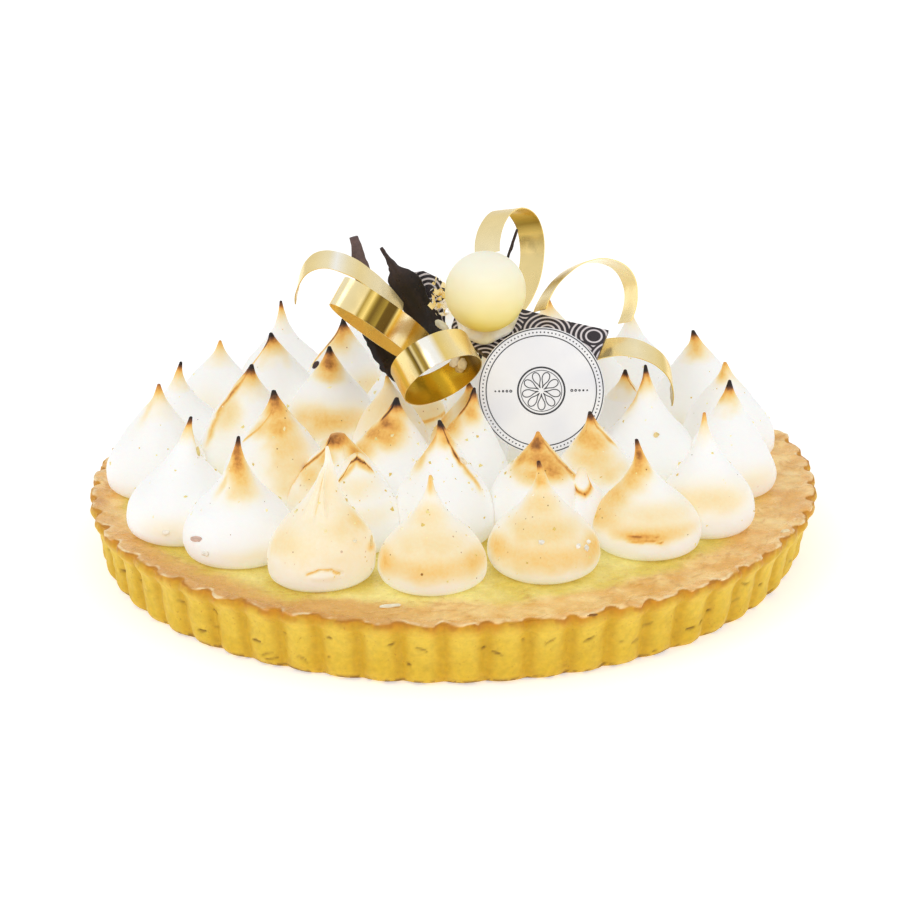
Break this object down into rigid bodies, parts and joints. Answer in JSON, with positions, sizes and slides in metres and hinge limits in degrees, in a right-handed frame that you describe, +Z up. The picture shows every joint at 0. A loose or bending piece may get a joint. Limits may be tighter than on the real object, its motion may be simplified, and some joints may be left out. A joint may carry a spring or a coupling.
{
  "type": "lemon meringue pie",
  "caption": "Round lemon meringue pie: fluted crust, lemon curd, piped toasted meringue kisses, crowned with gold ribbon curls, dark chocolate pieces, a white ball and a plaque.",
  "frame": {"origin": "middle of the pie's base, on the surface it stands on", "axes": "+Z up; -Y is the front, where the plaque faces; +X to the right seen from the front"},
  "size_m": [0.2396, 0.24, 0.1046],
  "materials": {
    "crust": "baked shortcrust, rough",
    "curd": "set lemon curd with a lightly browned skin",
    "meringue": "piped meringue with torched tips",
    "toasted_meringue": "meringue browned all over",
    "gold_ribbon": "thin gold foil band",
    "dark_chocolate": "dark chocolate, satin",
    "printed_chocolate": "dark chocolate printed with pale rings",
    "white_chocolate": "ivory white chocolate, satin",
    "plaque": "white sugar plaque with a dark double ring"
  },
  "bodies": {
    "root": {"crust": "crust", "lemon_curd": "curd", "ball_seat": "white_chocolate", "chocolate_feather": "dark_chocolate", "chocolate_leaf": "dark_chocolate", "chocolate_stick": "dark_chocolate", "kiss_inner_01": "meringue", "kiss_inner_02": "meringue", "kiss_inner_03": "meringue", "kiss_inner_04": "meringue", "kiss_inner_05": "meringue", "kiss_inner_06": "meringue", "kiss_inner_07": "meringue", "kiss_inner_08": "meringue", "kiss_inner_09": "meringue", "kiss_inner_10": "meringue", "kiss_inner_11": "meringue", "kiss_inner_12": "meringue", "kiss_inner_13": "meringue", "kiss_inner_14": "meringue", "kiss_inner_15": "meringue", "kiss_inner_16": "meringue", "kiss_inner_17": "meringue", "kiss_inner_18": "meringue", "kiss_inner_19": "meringue", "kiss_inner_20": "meringue", "kiss_inner_21": "meringue", "kiss_inner_22": "meringue", "kiss_inner_23": "meringue", "kiss_low_01": "toasted_meringue", "kiss_low_02": "toasted_meringue", "kiss_outer_01": "meringue", "kiss_outer_02": "meringue", "kiss_outer_03": "meringue", "kiss_outer_04": "meringue", "kiss_outer_05": "meringue", "kiss_outer_06": "meringue", "kiss_outer_07": "meringue", "kiss_outer_08": "meringue", "kiss_outer_09": "meringue", "kiss_outer_10": "meringue", "kiss_outer_11": "meringue", "kiss_outer_12": "meringue", "kiss_outer_13": "meringue", "kiss_outer_14": "meringue", "kiss_outer_15": "meringue", "kiss_outer_16": "meringue", "kiss_outer_17": "meringue", "kiss_outer_18": "meringue", "plaque": "plaque", "printed_plate": "printed_chocolate", "printed_plate_back": "printed_chocolate", "ribbon_arch_left": "gold_ribbon", "ribbon_arch_right": "gold_ribbon", "ribbon_curl_right": "gold_ribbon", "ribbon_loop_front": "gold_ribbon", "ribbon_loop_left": "gold_ribbon", "ribbon_loop_top": "gold_ribbon", "white_ball": "white_chocolate"}
  },
  "joints": []
}
